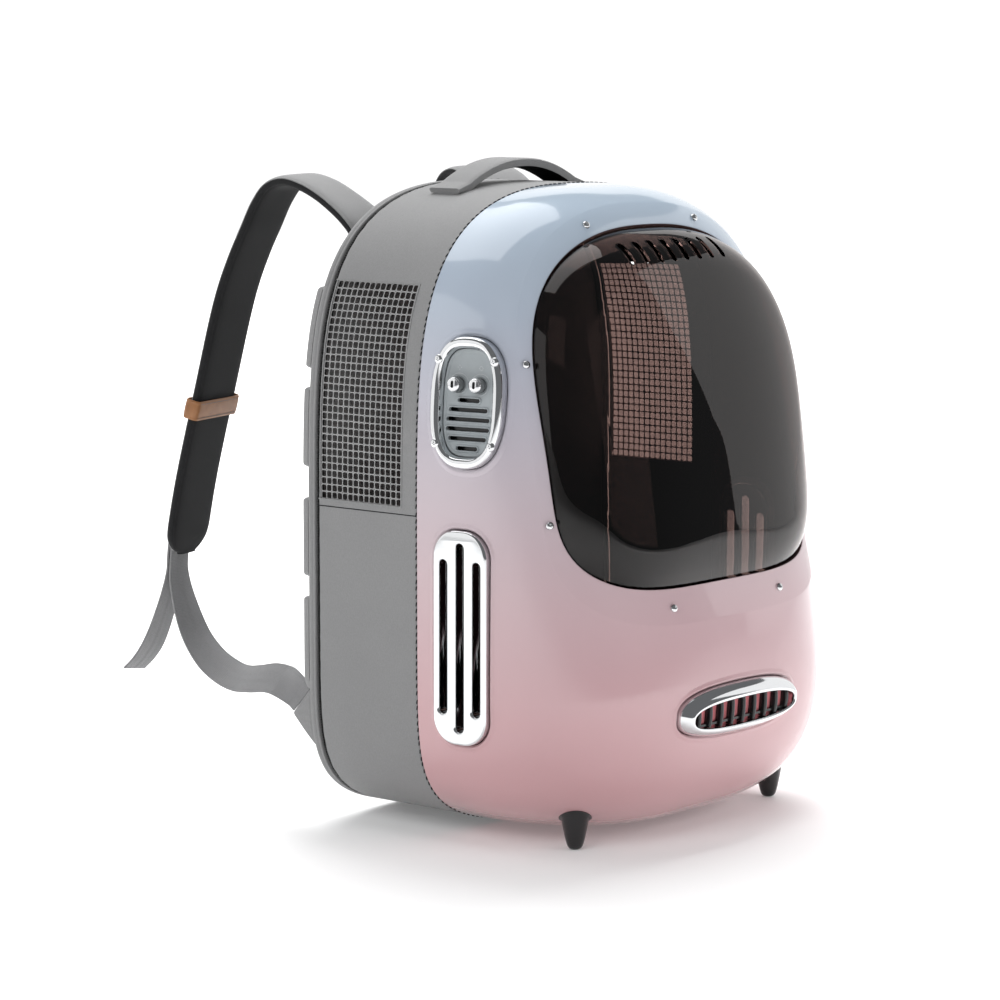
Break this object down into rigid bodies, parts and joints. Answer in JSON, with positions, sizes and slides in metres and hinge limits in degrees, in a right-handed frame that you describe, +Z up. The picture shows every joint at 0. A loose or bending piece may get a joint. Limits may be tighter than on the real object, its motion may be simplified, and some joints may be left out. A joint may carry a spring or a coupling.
{
  "type": "bubble pet carrier backpack",
  "caption": "Rounded pet backpack: glossy shell with a tinted bubble window and vents, fabric middle with mesh windows, padded back, shoulder straps and carry handle.",
  "frame": {"origin": "on the floor, in the flat base of the fabric middle, half way across the width", "axes": "+X to the right seen from the front, +Y to the back where the straps are, +Z up; the window faces -Y"},
  "size_m": [0.345, 0.4854, 0.4683],
  "materials": {
    "shell_gloss": "glossy, blue at the top to pink at the base",
    "window_tint": "clear, dark tinted",
    "chrome": "polished plating",
    "panel_grey": "satin grey",
    "black_plastic": "black",
    "canvas": "grey woven canvas",
    "mesh": "grey open net",
    "padding": "grey padded cloth",
    "black_tape": "black zip tape",
    "strap": "grey padded cloth",
    "webbing": "grey woven band",
    "leather": "tan"
  },
  "bodies": {
    "pack": {"front_shell": "shell_gloss", "bubble_window": "window_tint", "window_screw_1": "chrome", "window_screw_2": "chrome", "window_screw_3": "chrome", "window_screw_4": "chrome", "window_screw_5": "chrome", "window_screw_6": "chrome", "window_screw_7": "chrome", "window_screw_8": "chrome", "control_ring": "chrome", "control_plate": "panel_grey", "panel_screw_1": "chrome", "panel_screw_2": "chrome", "panel_screw_3": "chrome", "panel_screw_4": "chrome", "grille_ring": "chrome", "grille_slats": "black_plastic", "fabric_body": "canvas", "seam_piping": "black_tape", "back_panel": "padding", "back_pad_1": "padding", "back_pad_2": "padding", "back_pad_3": "padding", "back_pad_4": "padding", "carry_handle": "padding", "side_vent_left": "chrome", "mesh_panel_left": "mesh", "foot_left": "black_plastic", "strap_pad_left": "strap", "strap_keeper_left": "leather", "strap_webbing_left": "webbing", "strap_tail_left": "webbing", "strap_tab_left": "canvas", "side_vent_right": "chrome", "mesh_panel_right": "mesh", "foot_right": "black_plastic", "strap_pad_right": "strap", "strap_keeper_right": "leather", "strap_webbing_right": "webbing", "strap_tail_right": "webbing", "strap_tab_right": "canvas"},
    "knob_rear": {"knob_rear": "chrome"},
    "knob_front": {"knob_front": "chrome"}
  },
  "joints": [
    {"name": "knob_rear_turn", "type": "hinge", "parent": "pack", "child": "knob_rear", "pos_m": [-0.16325, -0.08483, 0.32075], "axis": [-0.9865, -0.1369, 0.0895], "range_deg": [-135, 135]},
    {"name": "knob_front_turn", "type": "hinge", "parent": "pack", "child": "knob_front", "pos_m": [-0.16088, -0.10187, 0.32075], "axis": [-0.9865, -0.1369, 0.0895], "range_deg": [-135, 135]}
  ]
}
